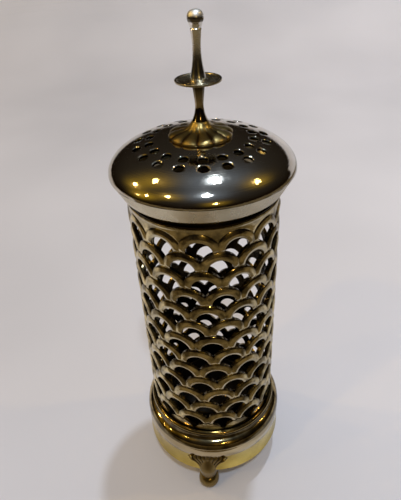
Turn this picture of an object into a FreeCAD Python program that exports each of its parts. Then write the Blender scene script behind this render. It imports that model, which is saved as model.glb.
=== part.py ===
import FreeCAD, Part
import math
import os

# Candle lantern: a pierced fish-scale sleeve on a moulded base with three ball feet,
# closed by a vented dome lid with a turned finial. Millimetres, +Z up, origin on the floor
# below the lantern's axis. The front foot is on -Y.

# Feet
foot_count = 3
foot_ball_radius = 5.6
foot_flat_depth = 0.35
foot_inset = 3.0
foot_neck_radius = 4.0
foot_top_radius = 5.2
foot_rib_radius = 2.9
foot_leaf_width = 23.0
foot_leaf_thickness = 1.1
foot_leaf_margin = 0.3
foot_leaf_side_height = 2.0
foot_leaf_waist = 6.4
foot_leaf_waist_height = 4.6
foot_leaf_flutes = 4
foot_flute_radius = 0.9
foot_flute_end = 0.3
foot_height = 17.3
screw_radius = 1.25
screw_reach = 0.45
screw_drop = 2.2
screw_head_radius = 2.4
screw_head_height = 1.4

# Base
plinth_height = 11.2
plinth_bottom_projection = 4.6
plinth_top_projection = 4.2
plinth_cove_depth = 0.5
plinth_wall = 1.5
plinth_shelf_width = 7.2
band_height = 6.2
band_projection = 4.5
shoulder_height = 6.1
shoulder_bulge = 0.8
groove_height = 2.3
base_wall = 1.2
floor_thickness = 1.5
bead_height = 2.2
bead_projection = 1.45

# Pierced sleeve
sleeve_radius = 33.0
sleeve_wall = 2.4
scales_around = 13
scale_rows = 13
row_pitch = 8.98
row_drift_angle = 1.1
first_scale_angle = 2.0
arch_overlap = 1.225
arch_band = 3.6
lattice_bottom_margin = 0.3
lattice_top_margin = 6.5

# Neck that carries the lid
neck_height = 2.4
neck_overlap = 5.0
neck_wall = 1.2

# Candle cup
tealight_radius = 19.0
tealight_clearance = 0.6
cup_depth = 12.0
cup_wall = 0.8
cup_floor = 1.0
pan_clearance = 1.35
pan_lip_height = 4.0

# Lid
lid_overhang = 5.6
lid_wall = 1.2
dome_rise = 13.0
dome_side_power = 2.376
dome_crown_power = 1.887
dome_curve_points = 9
collar_height = 8.4
collar_neck_overhang = 2.65
collar_cove_depth = 0.15
collar_rim_step = 0.3
bezel_depth = 6.0
bezel_wall = 1.0
vents_around = 18
vent_radius = 1.9
vent_edge_distance = 12.6
vent_row_spacing = 5.0
first_vent_angle = 8.0

# Finial
rosette_radius = 12.9
rosette_height = 6.3
rosette_edge = 1.1
rosette_sweep = 1.9
rosette_lobes = 12
rosette_groove_radius = 1.5
rosette_groove_end = 0.3
rosette_groove_lift = 0.5
stem_height = 14.4
stem_bottom_radius = 3.1
stem_waist_radius = 1.65
stem_waist_height = 5.1
stem_top_radius = 2.6
turned_fullness = 0.25
disc_radius = 8.95
disc_thickness = 1.4
disc_dish = 0.5
disc_lip = 0.9
disc_underside_rise = 0.45
spindle_bottom_radius = 3.0
spindle_foot_height = 0.6
spindle_waist_radius = 1.56
spindle_waist_height = 10.0
spindle_ring_radius = 2.35
spindle_ring_height = 17.2
spindle_ring_thickness = 0.7
spindle_neck_radius = 1.9
ball_neck_angle = -40.0
ball_radius = 3.0
ball_height = 20.3
stud_radius = 0.9
stud_grip = 8.0
nut_across_flats = 5.5
nut_sides = 6
nut_height = 2.4
stud_tail = 1.0
washer_radius = 5.0
washer_thickness = 0.8

# Clearances
fit_gap = 0.05
sleeve_seat_gap = 0.1
lid_seat_gap = 0.15
lid_guide_gap = 0.25
cup_seat_gap = 0.15

# Heights, added up from the floor
z_plinth_bottom = foot_height
z_plinth_top = z_plinth_bottom + plinth_height
z_plinth_middle = (z_plinth_top + z_plinth_bottom) / 2
z_floor_top = z_plinth_top + floor_thickness
z_band_top = z_plinth_top + band_height
z_shoulder_top = z_band_top + shoulder_height
z_base_top = z_shoulder_top + groove_height
z_bead_top = z_base_top + bead_height

scale_width = 2 * math.pi * sleeve_radius / scales_around
arch_outer_radius = scale_width / 2 + arch_overlap
arch_inner_radius = arch_outer_radius - arch_band
crossing_height = math.sqrt(arch_outer_radius ** 2 - (scale_width / 2) ** 2)
fan_height = row_pitch - arch_band + arch_outer_radius - crossing_height

z_last_row = z_bead_top + lattice_bottom_margin + fan_height
z_first_row = z_last_row + (scale_rows - 1) * row_pitch
z_sleeve_top = z_first_row + lattice_top_margin
z_neck_top = z_sleeve_top + neck_height
z_collar = z_neck_top + lid_seat_gap
z_rim = z_collar + collar_height

# Radii, measured from the sleeve's outside
band_radius = sleeve_radius + band_projection
base_neck_radius = sleeve_radius + sleeve_seat_gap + base_wall
plinth_bottom_radius = sleeve_radius + plinth_bottom_projection
plinth_top_radius = sleeve_radius + plinth_top_projection
plinth_shelf_inner_radius = plinth_top_radius - plinth_shelf_width
plinth_middle_radius = (plinth_top_radius + plinth_bottom_radius) / 2 - plinth_cove_depth
foot_circle_radius = plinth_bottom_radius - foot_inset
sleeve_inner_radius = sleeve_radius - sleeve_wall
neck_outer_radius = sleeve_inner_radius - fit_gap
neck_inner_radius = neck_outer_radius - neck_wall
bezel_outer_radius = neck_inner_radius - lid_guide_gap
bezel_inner_radius = bezel_outer_radius - bezel_wall
pan_radius = neck_inner_radius - pan_clearance
collar_bottom_radius = neck_outer_radius + collar_neck_overhang
lid_radius = sleeve_radius + lid_overhang
vent_outer_circle = lid_radius - vent_edge_distance
vent_inner_circle = vent_outer_circle - vent_row_spacing

UP = FreeCAD.Vector(0, 0, 1)
AXIS_POINT = FreeCAD.Vector(0, 0, 0)
FULL_TURN = 360.0


def spot(radius, height):
    """A point of a profile: distance from the lantern's axis, and height."""
    return FreeCAD.Vector(radius, 0, height)


def line(start, end):
    return Part.LineSegment(start, end).toShape()


def arc(start, middle, end):
    return Part.Arc(start, middle, end).toShape()


def polygon_edges(points):
    """Straight edges through the points, in order."""
    return [line(a, b) for a, b in zip(points, points[1:])]


def turned(edges):
    """A closed profile turned about the lantern's axis."""
    return Part.Face(Part.Wire(edges)).revolve(AXIS_POINT, UP, FULL_TURN)


def ring(outer_radius, inner_radius, bottom, top):
    tube = Part.makeCylinder(outer_radius, top - bottom, spot(0, bottom))
    return tube.cut(Part.makeCylinder(inner_radius, top - bottom, spot(0, bottom)))


def spun(outline, wall):
    """Sheet metal spun to an open outline: the outline and its offset, turned about the axis."""
    sheet = Part.Wire(outline).makeOffset2D(wall, fill=True, openResult=True)
    return sheet.revolve(AXIS_POINT, UP, FULL_TURN)


def between(a, b, share):
    """A value part of the way from a to b."""
    return a + (b - a) * share


def around(shape, angle):
    """A copy turned about the lantern's axis, in degrees."""
    copy = shape.copy()
    copy.rotate(AXIS_POINT, UP, angle)
    return copy


def save(shape, node):
    solids = shape.Solids
    shape = solids[0] if len(solids) == 1 else Part.makeCompound(solids)
    shape.exportStep("parts/" + node + ".step")


# Base pieces

def plinth_face(offset):
    """Coved face of the plinth from its top to its bottom, moved outwards by the offset."""
    return arc(spot(plinth_top_radius + offset, z_plinth_top),
               spot(plinth_middle_radius + offset, z_plinth_middle),
               spot(plinth_bottom_radius + offset, z_plinth_bottom))


def plinth_ring():
    """Coved lower ring with an inward shelf at its top that carries the floor plate."""
    shelf_bottom = z_plinth_top - base_wall
    edges = [
        line(spot(plinth_shelf_inner_radius, z_plinth_top), spot(plinth_top_radius, z_plinth_top)),
        plinth_face(0),
        line(spot(plinth_bottom_radius, z_plinth_bottom),
             spot(plinth_bottom_radius - plinth_wall, z_plinth_bottom)),
        arc(spot(plinth_bottom_radius - plinth_wall, z_plinth_bottom),
            spot(plinth_middle_radius - plinth_wall, z_plinth_middle),
            spot(plinth_top_radius - plinth_wall, shelf_bottom)),
    ]
    edges += polygon_edges([
        spot(plinth_top_radius - plinth_wall, shelf_bottom),
        spot(plinth_shelf_inner_radius, shelf_bottom),
        spot(plinth_shelf_inner_radius, z_plinth_top),
    ])
    body = turned(edges)
    return body.cut([around(foot_screw_bore(), angle) for angle in foot_angles])


def base_moulding():
    """Spun base: upright band, rounded shoulder, and a short neck hugging the sleeve."""
    bulge_radius = (band_radius + base_neck_radius) / 2 + shoulder_bulge
    bulge_height = (z_band_top + z_shoulder_top) / 2
    outline = [
        line(spot(band_radius, z_plinth_top), spot(band_radius, z_band_top)),
        arc(spot(band_radius, z_band_top), spot(bulge_radius, bulge_height),
            spot(base_neck_radius, z_shoulder_top)),
        line(spot(base_neck_radius, z_shoulder_top), spot(base_neck_radius, z_base_top)),
    ]
    return spun(outline, base_wall)


def floor_plate():
    radius = band_radius - base_wall - fit_gap
    return Part.makeCylinder(radius, floor_thickness, spot(0, z_plinth_top))


def base_bead():
    """Half-round wire ring laid round the sleeve on top of the base's neck."""
    inner = sleeve_radius + fit_gap
    outer = sleeve_radius + bead_projection
    straight = outer - bead_height / 2
    middle = z_base_top + bead_height / 2
    return turned([
        line(spot(inner, z_bead_top), spot(inner, z_base_top)),
        line(spot(inner, z_base_top), spot(straight, z_base_top)),
        arc(spot(straight, z_base_top), spot(outer, middle), spot(straight, z_bead_top)),
        line(spot(straight, z_bead_top), spot(inner, z_bead_top)),
    ])


# Feet

foot_angles = [FULL_TURN * i / foot_count for i in range(foot_count)]
foot_names = ["foot_front", "foot_right", "foot_left"]
leaf_inner_radius = plinth_bottom_radius + fit_gap
screw_height = z_plinth_middle - screw_drop


def foot_screw(bore=False):
    """Screw of the front foot, from inside the plinth outwards along -Y."""
    gap = fit_gap if bore else 0.0
    seat = plinth_middle_radius - plinth_wall - 2 * fit_gap
    end = leaf_inner_radius + screw_reach + gap
    outwards = FreeCAD.Vector(0, -1, 0)
    shank_start = FreeCAD.Vector(0, -seat, screw_height)
    shank = Part.makeCylinder(screw_radius + gap, end - seat, shank_start, outwards)
    head_start = FreeCAD.Vector(0, -(seat - screw_head_height), screw_height)
    head = Part.makeCylinder(screw_head_radius + gap, screw_head_height + gap, head_start, outwards)
    return shank.fuse(head)


def foot_screw_bore():
    return foot_screw(bore=True)


def plinth_core():
    """Everything inside the plinth's face, with the gap that a cast foot keeps from it."""
    return turned([
        line(spot(0, z_plinth_top), spot(plinth_top_radius + fit_gap, z_plinth_top)),
        plinth_face(fit_gap),
        line(spot(plinth_bottom_radius + fit_gap, z_plinth_bottom), spot(0, z_plinth_bottom)),
        line(spot(0, z_plinth_bottom), spot(0, z_plinth_top)),
    ])


def foot_leaf():
    """Fluted leaf on the plinth's coved face: a thin skin of that face, cut to the leaf's outline."""
    outside = fit_gap + foot_leaf_thickness
    skin = turned([
        plinth_face(outside),
        line(spot(plinth_bottom_radius + outside, z_plinth_bottom),
             spot(plinth_bottom_radius + fit_gap, z_plinth_bottom)),
        plinth_face(fit_gap),
        line(spot(plinth_top_radius + fit_gap, z_plinth_top),
             spot(plinth_top_radius + outside, z_plinth_top)),
    ])
    leaf_top = z_plinth_top - foot_leaf_margin
    tip_height = leaf_top - foot_leaf_side_height
    waist_height = z_plinth_bottom + foot_leaf_waist_height
    right_tip, left_tip = spot(foot_leaf_width / 2, tip_height), spot(-foot_leaf_width / 2, tip_height)
    right_root, left_root = spot(foot_neck_radius, z_plinth_bottom), spot(-foot_neck_radius, z_plinth_bottom)
    outline = [
        arc(left_tip, spot(0, leaf_top), right_tip),
        arc(right_tip, spot(foot_leaf_waist, waist_height), right_root),
        line(right_root, left_root),
        arc(left_root, spot(-foot_leaf_waist, waist_height), left_tip),
    ]
    reach = plinth_bottom_radius + 2 * outside
    leaf = skin.common(Part.Face(Part.Wire(outline)).extrude(FreeCAD.Vector(0, -reach, 0)))

    flute_line = plinth_middle_radius + outside + foot_flute_radius / 2
    root = FreeCAD.Vector(0, -flute_line, z_plinth_bottom)
    flutes = []
    for i in range(foot_leaf_flutes):
        across = (i - (foot_leaf_flutes - 1) / 2) / foot_leaf_flutes * foot_leaf_width
        bend = math.asin(across / flute_line)
        tip = FreeCAD.Vector(across, -flute_line * math.cos(bend), leaf_top + foot_flute_radius)
        run = tip - root
        flutes.append(Part.makeCone(foot_flute_end, foot_flute_radius, run.Length, root, run))
    return leaf.cut(flutes)


def foot():
    """Cast front foot: a ball, a thick neck that runs up the plinth as a tapering rib, and a fluted leaf."""
    ball_height_on_floor = foot_ball_radius - foot_flat_depth
    centre = FreeCAD.Vector(0, -foot_circle_radius, ball_height_on_floor)
    under_plinth = FreeCAD.Vector(0, -foot_circle_radius, z_plinth_bottom)
    ball = Part.makeSphere(foot_ball_radius, centre)
    neck = Part.makeCone(foot_neck_radius, foot_top_radius, z_plinth_bottom - ball_height_on_floor, centre)
    rib = Part.makeCone(foot_top_radius, foot_rib_radius, plinth_height - foot_leaf_margin, under_plinth)
    rib = rib.cut(plinth_core())

    whole = ball.fuse([neck, rib, foot_leaf()])
    below_floor = Part.makeCylinder(foot_ball_radius, foot_ball_radius,
                                    FreeCAD.Vector(0, -foot_circle_radius, -foot_ball_radius))
    whole = whole.cut([below_floor, foot_screw_bore()])
    return whole.removeSplitter()


# Pierced sleeve

def fan_prism():
    """One opening of the lattice at the front, with the top of its arch at height zero.

    Flat pattern: inside an arch of the inner radius, and above the outer edges of the two arches of
    the next row, which stand half a scale to either side and meet in a V on the centre line.
    """
    inside = sleeve_inner_radius / 2
    arch_centre = -arch_inner_radius
    flank_x = scale_width / 2
    flank_z = -row_pitch + arch_band - arch_outer_radius

    # The corner is where the arch meets the outer edge of the flank arch: two circles crossing.
    between_z = flank_z - arch_centre
    reach = math.hypot(flank_x, between_z)
    along = (reach ** 2 + arch_inner_radius ** 2 - arch_outer_radius ** 2) / (2 * reach)
    aside = math.sqrt(arch_inner_radius ** 2 - along ** 2)
    corner_x = (flank_x * along - between_z * aside) / reach
    corner_z = arch_centre + (between_z * along + flank_x * aside) / reach

    crossing_turn = math.atan2(crossing_height, -flank_x)
    corner_turn = math.atan2(corner_z - flank_z, corner_x - flank_x)
    middle_turn = (crossing_turn + corner_turn) / 2
    middle_x = flank_x + arch_outer_radius * math.cos(middle_turn)
    middle_z = flank_z + arch_outer_radius * math.sin(middle_turn)

    def place(x, z):
        return FreeCAD.Vector(x, -inside, z)

    crossing = place(0, flank_z + crossing_height)
    outline = [
        arc(crossing, place(middle_x, middle_z), place(corner_x, corner_z)),
        arc(place(corner_x, corner_z), place(0, 0), place(-corner_x, corner_z)),
        arc(place(-corner_x, corner_z), place(-middle_x, middle_z), crossing),
    ]
    return Part.Face(Part.Wire(outline)).extrude(FreeCAD.Vector(0, -sleeve_radius, 0))


def scale_sleeve():
    """Tube pierced row by row; each row is turned by half a scale and a little drift."""
    tube = ring(sleeve_radius, sleeve_inner_radius, z_floor_top, z_sleeve_top)
    opening = fan_prism()
    scale_angle = FULL_TURN / scales_around
    cuts = []
    for row in range(scale_rows):
        row_angle = first_scale_angle + row * (scale_angle / 2 + row_drift_angle)
        raised = opening.translated(spot(0, z_first_row - row * row_pitch))
        cuts += [around(raised, row_angle + scale_angle * i) for i in range(scales_around)]
    return tube.cut(cuts)


def neck_ring():
    return ring(neck_outer_radius, neck_inner_radius, z_sleeve_top - neck_overlap, z_neck_top)


# Candle cup

def candle_cup():
    """Loose pan with an upturned lip and a round cup for a tealight, in one pressing."""
    bottom = z_floor_top + cup_seat_gap
    inner = tealight_radius + tealight_clearance
    outer = inner + cup_wall
    return turned(polygon_edges([
        spot(0, bottom),
        spot(pan_radius, bottom),
        spot(pan_radius, bottom + pan_lip_height),
        spot(pan_radius - cup_wall, bottom + pan_lip_height),
        spot(pan_radius - cup_wall, bottom + cup_floor),
        spot(outer, bottom + cup_floor),
        spot(outer, bottom + cup_floor + cup_depth),
        spot(inner, bottom + cup_floor + cup_depth),
        spot(inner, bottom + cup_floor),
        spot(0, bottom + cup_floor),
        spot(0, bottom),
    ]))


# Lid

def dome_height(radius, rim_radius, rise):
    """Height of the dome above its rim: a superellipse, full at the shoulder and flat at the crown."""
    return rise * (1 - (radius / rim_radius) ** dome_side_power) ** (1 / dome_crown_power)


def dome_curve(rim_radius, rise, flat_radius):
    """Dome outline from its rim to the edge of the flat seat in the middle."""
    points = []
    for i in range(dome_curve_points):
        part = math.sin(math.pi / 2 * i / (dome_curve_points - 1))
        radius = rim_radius - (rim_radius - flat_radius) * (1 - math.sqrt(1 - part ** 2))
        points.append(spot(radius, z_rim + dome_height(radius, rim_radius, rise)))
    curve = Part.BSplineCurve()
    curve.interpolate(points)
    return curve.toShape(), points[-1]


seat_radius = rosette_radius + rosette_groove_radius / 2
z_seat = z_rim + dome_height(seat_radius, lid_radius, dome_rise)


def dome_solid(rim_radius, rise, flat_radius):
    curve, edge_of_flat = dome_curve(rim_radius, rise, flat_radius)
    return turned([
        line(spot(0, z_rim), spot(rim_radius, z_rim)),
        curve,
        line(edge_of_flat, spot(0, edge_of_flat.z)),
        line(spot(0, edge_of_flat.z), spot(0, z_rim)),
    ])


def lid_dome():
    """Spun dome with a flat seat for the finial and two rings of vents drilled straight down."""
    shell = dome_solid(lid_radius, dome_rise, seat_radius)
    shell = shell.cut(dome_solid(lid_radius - lid_wall, dome_rise - lid_wall, seat_radius))
    drill_height = dome_rise * 2
    drills = [Part.makeCylinder(stud_radius + fit_gap, drill_height, spot(0, z_rim))]
    for circle in (vent_inner_circle, vent_outer_circle):
        vent = Part.makeCylinder(vent_radius, drill_height, FreeCAD.Vector(0, -circle, z_rim))
        drills += [around(vent, first_vent_angle + FULL_TURN * i / vents_around) for i in range(vents_around)]
    return shell.cut(drills)


def lid_collar():
    """Coved ring from the dome's rim in to the neck, with a ledge that rests on the neck."""
    rim = lid_radius - collar_rim_step
    cove_radius = (rim + collar_bottom_radius) / 2 - collar_cove_depth
    cove_height = z_collar + collar_height / 2
    inner_bottom = z_collar + lid_wall
    edges = [
        line(spot(bezel_inner_radius, z_collar), spot(collar_bottom_radius, z_collar)),
        arc(spot(collar_bottom_radius, z_collar), spot(cove_radius, cove_height), spot(rim, z_rim)),
        line(spot(rim, z_rim), spot(rim - lid_wall, z_rim)),
        arc(spot(rim - lid_wall, z_rim), spot(cove_radius - lid_wall, cove_height),
            spot(collar_bottom_radius - lid_wall, inner_bottom)),
    ]
    edges += polygon_edges([
        spot(collar_bottom_radius - lid_wall, inner_bottom),
        spot(bezel_inner_radius, inner_bottom),
        spot(bezel_inner_radius, z_collar),
    ])
    return turned(edges)


def lid_bezel():
    return ring(bezel_outer_radius, bezel_inner_radius, z_neck_top - bezel_depth, z_collar)


# Finial, stacked on the dome's seat

z_stem = z_seat + rosette_height
z_disc = z_stem + stem_height
z_spindle = z_disc + disc_thickness
stud_bore = stud_radius + fit_gap


def bored(shape, bottom, top):
    return shape.cut(Part.makeCylinder(stud_bore, top - bottom, spot(0, bottom)))


def finial_rosette():
    """Lobed foot of the finial: a swept cone with grooves that run out to a scalloped edge."""
    edge_top = z_seat + rosette_edge
    sweep = spot((rosette_radius + stem_bottom_radius) / 2 - rosette_sweep,
                 (edge_top + z_stem) / 2 - rosette_sweep)
    body = turned([
        line(spot(0, z_seat), spot(rosette_radius, z_seat)),
        line(spot(rosette_radius, z_seat), spot(rosette_radius, edge_top)),
        arc(spot(rosette_radius, edge_top), sweep, spot(stem_bottom_radius, z_stem)),
        line(spot(stem_bottom_radius, z_stem), spot(0, z_stem)),
        line(spot(0, z_stem), spot(0, z_seat)),
    ])
    outer_end = spot(rosette_radius + rosette_groove_radius / 2, edge_top + rosette_groove_lift)
    inner_end = spot(sweep.x - rosette_sweep, (sweep.z + z_stem) / 2)
    run = inner_end - outer_end
    groove = Part.makeCone(rosette_groove_radius, rosette_groove_end, run.Length, outer_end, run)
    notch = Part.makeCylinder(rosette_groove_radius, rosette_height, spot(outer_end.x, z_seat))
    groove = groove.fuse(notch)
    body = body.cut([around(groove, FULL_TURN * (i + 0.5) / rosette_lobes) for i in range(rosette_lobes)])
    return bored(body, z_seat, z_stem)


def finial_lower_stem():
    """Baluster that narrows to a waist and widens again under the disc."""
    waist = spot(stem_waist_radius, z_stem + stem_waist_height)
    lower = spot(between(stem_waist_radius, stem_bottom_radius, turned_fullness), (z_stem + waist.z) / 2)
    upper = spot(between(stem_waist_radius, stem_top_radius, turned_fullness), (z_disc + waist.z) / 2)
    body = turned([
        line(spot(0, z_stem), spot(stem_bottom_radius, z_stem)),
        arc(spot(stem_bottom_radius, z_stem), lower, waist),
        arc(waist, upper, spot(stem_top_radius, z_disc)),
        line(spot(stem_top_radius, z_disc), spot(0, z_disc)),
        line(spot(0, z_disc), spot(0, z_stem)),
    ])
    return bored(body, z_stem, z_disc)


def finial_disc():
    """Turned disc, dished on top inside a narrow lip and thinned underneath towards its edge."""
    lip_inner = disc_radius - disc_lip
    top = z_disc + disc_thickness
    body = turned(polygon_edges([
        spot(0, z_disc),
        spot(stem_top_radius, z_disc),
        spot(disc_radius, z_disc + disc_underside_rise),
        spot(disc_radius, top),
        spot(lip_inner, top),
        spot(lip_inner - disc_dish, top - disc_dish),
        spot(spindle_bottom_radius + disc_dish, top - disc_dish),
        spot(spindle_bottom_radius, top),
        spot(0, top),
        spot(0, z_disc),
    ]))
    return bored(body, z_disc, top)


def finial_spindle():
    """Slim spindle with a ring near its top and a ball tip on a short tapered neck."""
    foot_top = z_spindle + spindle_foot_height
    waist = spot(spindle_waist_radius, z_spindle + spindle_waist_height)
    ring_bottom = z_spindle + spindle_ring_height
    ring_top = ring_bottom + spindle_ring_thickness
    under_ring = spot(between(spindle_waist_radius, spindle_ring_radius, turned_fullness), ring_bottom)
    lower_radius = between(spindle_waist_radius, spindle_bottom_radius, turned_fullness)
    lower = spot(lower_radius, (foot_top + waist.z) / 2)
    upper = spot(between(spindle_waist_radius, under_ring.x, turned_fullness), (under_ring.z + waist.z) / 2)
    ball_centre = z_spindle + ball_height
    neck_turn = math.radians(ball_neck_angle)
    neck_top = spot(ball_radius * math.cos(neck_turn), ball_centre + ball_radius * math.sin(neck_turn))
    body = turned([
        line(spot(0, z_spindle), spot(spindle_bottom_radius, z_spindle)),
        line(spot(spindle_bottom_radius, z_spindle), spot(spindle_bottom_radius, foot_top)),
        arc(spot(spindle_bottom_radius, foot_top), lower, waist),
        arc(waist, upper, under_ring),
        line(under_ring, spot(spindle_ring_radius, ring_bottom)),
        line(spot(spindle_ring_radius, ring_bottom), spot(spindle_ring_radius, ring_top)),
        line(spot(spindle_ring_radius, ring_top), spot(spindle_neck_radius, ring_top)),
        line(spot(spindle_neck_radius, ring_top), neck_top),
        arc(neck_top, spot(ball_radius, ball_centre), spot(0, ball_centre + ball_radius)),
        line(spot(0, ball_centre + ball_radius), spot(0, z_spindle)),
    ])
    return bored(body, z_spindle, z_spindle + stud_grip + fit_gap)


z_seat_under = z_rim + dome_height(seat_radius, lid_radius - lid_wall, dome_rise - lid_wall)
z_washer = z_seat_under - washer_thickness
z_nut = z_washer - nut_height


def finial_stud():
    bottom = z_nut - stud_tail
    return Part.makeCylinder(stud_radius, z_spindle + stud_grip - bottom, spot(0, bottom))


def finial_washer():
    return ring(washer_radius, stud_bore, z_washer, z_seat_under)


def finial_nut():
    corner = nut_across_flats / math.sqrt(3)
    turns = [FULL_TURN * i / nut_sides for i in range(nut_sides)]
    points = [around(Part.Vertex(spot(corner, z_nut)), turn).Point for turn in turns]
    hexagon = Part.Face(Part.makePolygon(points + points[:1]))
    return bored(hexagon.extrude(spot(0, nut_height)), z_nut, z_nut + nut_height)


os.makedirs("parts", exist_ok=True)

for name, angle in zip(foot_names, foot_angles):
    save(around(foot(), angle), name)
save(Part.makeCompound([around(foot_screw(), angle) for angle in foot_angles]), "foot_screws")

for piece in (
    plinth_ring, base_moulding, floor_plate, base_bead, scale_sleeve, neck_ring, candle_cup,
    lid_dome, lid_collar, lid_bezel,
    finial_rosette, finial_lower_stem, finial_disc, finial_spindle,
    finial_stud, finial_washer, finial_nut,
):
    save(piece(), piece.__name__)
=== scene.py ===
import math

import bmesh
import bpy
import numpy as np
from mathutils import Matrix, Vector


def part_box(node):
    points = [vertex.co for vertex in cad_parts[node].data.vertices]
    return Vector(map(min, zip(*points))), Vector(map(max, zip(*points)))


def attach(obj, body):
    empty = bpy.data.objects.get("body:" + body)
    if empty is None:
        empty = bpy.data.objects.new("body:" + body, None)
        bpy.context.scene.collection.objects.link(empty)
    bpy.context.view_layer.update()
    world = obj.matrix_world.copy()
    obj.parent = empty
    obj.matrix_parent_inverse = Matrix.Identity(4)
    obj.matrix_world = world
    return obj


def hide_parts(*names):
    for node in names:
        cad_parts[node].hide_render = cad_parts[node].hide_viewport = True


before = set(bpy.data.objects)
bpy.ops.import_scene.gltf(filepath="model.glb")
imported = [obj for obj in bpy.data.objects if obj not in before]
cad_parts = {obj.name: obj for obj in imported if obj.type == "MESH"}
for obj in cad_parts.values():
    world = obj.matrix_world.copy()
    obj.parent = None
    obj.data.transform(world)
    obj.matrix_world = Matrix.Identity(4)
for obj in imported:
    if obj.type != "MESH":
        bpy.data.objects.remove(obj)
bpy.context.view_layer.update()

# Candle lantern in polished, slightly tarnished plate. Its sizes are millimetres, and meshes, materials
# and the stage are in metres. +Z is up and the front faces -Y. An angle of 0 is the front, and it grows
# towards +X.

MM = 0.001
TURN = 2 * math.pi
SEGMENTS = 192
MERGE_DISTANCE = 1e-6
SMOOTH_ANGLE = math.radians(38)


def levels(name):
    """Lowest and highest point of a node of the frame."""
    low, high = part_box(name)
    return low.z / MM, high.z / MM


def reach(name):
    """Largest distance of a round node from the axis."""
    low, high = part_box(name)
    return (high.x - low.x) / 2 / MM


# Shape tools

def grid_faces(rows, columns, close_rows=False, close_columns=False):
    """Four-cornered faces of a grid of points; a closed side joins its last line to its first."""
    index = np.arange(rows * columns).reshape(rows, columns)
    if close_rows:
        index = np.vstack([index, index[:1]])
    if close_columns:
        index = np.hstack([index, index[:, :1]])
    corners = [index[:-1, :-1], index[:-1, 1:], index[1:, 1:], index[1:, :-1]]
    return np.stack(corners, -1).reshape(-1, 4)


def lathe(profile, segments=SEGMENTS, closed=True):
    """A profile of (radius r, height h) turned about the axis: (r sin a, -r cos a, h) for every angle a."""
    angle = TURN * np.arange(segments)[:, None] / segments
    radius, height = profile[:, 0], profile[:, 1]
    x = np.sin(angle) * radius
    y = -np.cos(angle) * radius
    points = np.stack([x, y, np.broadcast_to(height, x.shape)], -1).reshape(-1, 3)
    return points, grid_faces(segments, len(profile), close_rows=True, close_columns=closed)


def rounded(corners, steps=5):
    """Closed outline from (radius, height, rounding): each corner is a parabola tangent to its two runs."""
    most_of_a_run = 0.48
    corners = np.array(corners, float)
    spots, cut = corners[:, :2], corners[:, 2]
    back = np.roll(spots, 1, 0) - spots
    ahead = np.roll(spots, -1, 0) - spots
    back *= np.minimum(cut / np.linalg.norm(back, axis=1), most_of_a_run)[:, None]
    ahead *= np.minimum(cut / np.linalg.norm(ahead, axis=1), most_of_a_run)[:, None]
    t = np.linspace(0, 1, steps + 1)[None, :, None]
    start, corner, end = (spots + back)[:, None], spots[:, None], (spots + ahead)[:, None]
    return ((1 - t) ** 2 * start + 2 * t * (1 - t) * corner + t ** 2 * end).reshape(-1, 2)


def spline(points, steps=8):
    """Smooth curve through the points: Catmull-Rom pieces of the given number of steps."""
    p = np.asarray(points, float)
    p = np.vstack([2 * p[0] - p[1], p, 2 * p[-1] - p[-2]])
    a, b, c, d = (p[i:len(p) - 3 + i, None] for i in range(4))
    t = np.linspace(0, 1, steps, endpoint=False)[None, :, None]
    curve = 0.5 * (2 * b + (c - a) * t + (2 * a - 5 * b + 4 * c - d) * t ** 2
                   + (3 * b - a - 3 * c + d) * t ** 3)
    return np.vstack([curve.reshape(-1, 2), p[-2:-1]])


def bow(start, end, bulge, steps=16):
    """Curve from start to end that leaves the straight line by bulge in the middle, as a parabola."""
    start, end = np.array(start, float), np.array(end, float)
    t = np.linspace(0, 1, steps + 1)[:, None]
    run = end - start
    side = np.array([-run[1], run[0]]) / np.linalg.norm(run)
    return start + run * t + side * bulge * 4 * t * (1 - t)


def smoothstep(t):
    """Rise from 0 to 1 with level ends: 3 t^2 - 2 t^3, held beyond them."""
    t = np.clip(t, 0, 1)
    return t * t * (3 - 2 * t)


def turned_about(points, angle):
    """Points turned about the lantern's axis, from the front towards +X for a positive angle."""
    c, s = math.cos(angle), math.sin(angle)
    return points @ np.array([[c, s, 0], [-s, c, 0], [0, 0, 1]])


def joined(parts):
    """Several (points, list of face arrays) as one."""
    points, faces, start = [], [], 0
    for part_points, part_faces in parts:
        points.append(part_points)
        faces += [f + start for f in part_faces]
        start += len(part_points)
    return np.vstack(points), faces


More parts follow.
